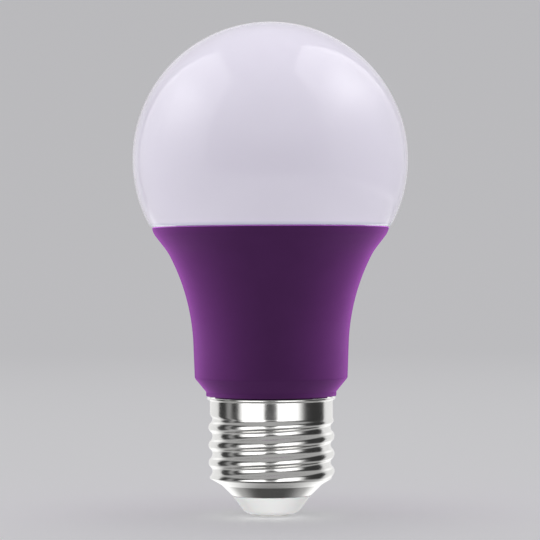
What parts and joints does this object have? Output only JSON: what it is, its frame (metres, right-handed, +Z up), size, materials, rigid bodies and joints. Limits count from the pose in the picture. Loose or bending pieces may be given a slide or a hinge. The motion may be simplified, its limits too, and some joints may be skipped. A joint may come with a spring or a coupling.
{
  "type": "smart light bulb",
  "caption": "Round opal LED bulb with a flared purple housing and a nickel E26 screw base, taken apart into globe, housing, heat sink, LED board, radio module, driver and base pieces.",
  "frame": {"origin": "middle of the centre contact's bottom face, where the lamp holder's spring presses", "axes": "+Z up the bulb's axis from the contact to the globe, -Y towards the viewer, +X to the viewer's right"},
  "size_m": [0.0568, 0.0568, 0.1022],
  "materials": {
    "opal_globe": "opal white, glossy, lets light through and hides what is behind it",
    "purple_housing": "satin purple, fine moulded grain",
    "nickel_plate": "bright nickel plate on a drawn sheet",
    "white_insulator": "white, slightly glossy",
    "contact_metal": "nickel plate",
    "clear_silicone": "cured silicone",
    "board_white": "aluminium-core board with white solder mask",
    "led_white": "phosphor in a white frame",
    "led_colour": "clear resin in a white frame",
    "screw_steel": "zinc plated",
    "thermal_grey": "soft filled pad",
    "drawn_aluminium": "drawn, unpolished",
    "sleeve_plastic": "moulded",
    "board_green": "glass-fibre board with green solder mask",
    "capacitor_sleeve": "shrunk sleeve",
    "film_yellow": "moulded box",
    "varistor_blue": "dipped coat",
    "resistor_green": "cement coat",
    "ferrite": "pressed ferrite",
    "copper_winding": "enamelled copper wire",
    "chip_black": "moulded, matt",
    "module_blue": "board with blue solder mask",
    "shield_tin": "tinned can",
    "antenna_copper": "copper trace",
    "header_black": "moulded",
    "lead_red": "insulated wire",
    "lead_white": "insulated wire"
  },
  "bodies": {
    "root": {"diffuser_globe": "opal_globe", "housing_shell": "purple_housing", "screw_shell": "nickel_plate", "base_insulator": "white_insulator", "centre_contact": "contact_metal", "globe_seal": "clear_silicone", "led_board": "board_white", "led_white_01": "led_white", "led_white_02": "led_white", "led_white_03": "led_white", "led_white_04": "led_white", "led_white_05": "led_white", "led_white_06": "led_white", "led_white_07": "led_white", "led_white_08": "led_white", "led_white_09": "led_white", "led_white_10": "led_white", "led_colour_01": "led_colour", "led_colour_02": "led_colour", "led_colour_03": "led_colour", "led_colour_04": "led_colour", "board_screw_1": "screw_steel", "board_screw_2": "screw_steel", "thermal_pad": "thermal_grey", "heat_sink_cup": "drawn_aluminium", "driver_sleeve": "sleeve_plastic", "driver_board": "board_green", "input_capacitor": "capacitor_sleeve", "output_capacitor": "capacitor_sleeve", "film_capacitor": "film_yellow", "varistor": "varistor_blue", "fusible_resistor": "resistor_green", "filter_inductor": "ferrite", "transformer_core": "ferrite", "transformer_winding": "copper_winding", "bridge_rectifier": "chip_black", "driver_ic": "chip_black", "freewheel_diode": "chip_black", "regulator_ic": "chip_black", "wireless_board": "module_blue", "wireless_shield": "shield_tin", "antenna": "antenna_copper", "pin_header": "header_black", "live_lead": "lead_red", "neutral_lead": "lead_white"}
  },
  "joints": []
}
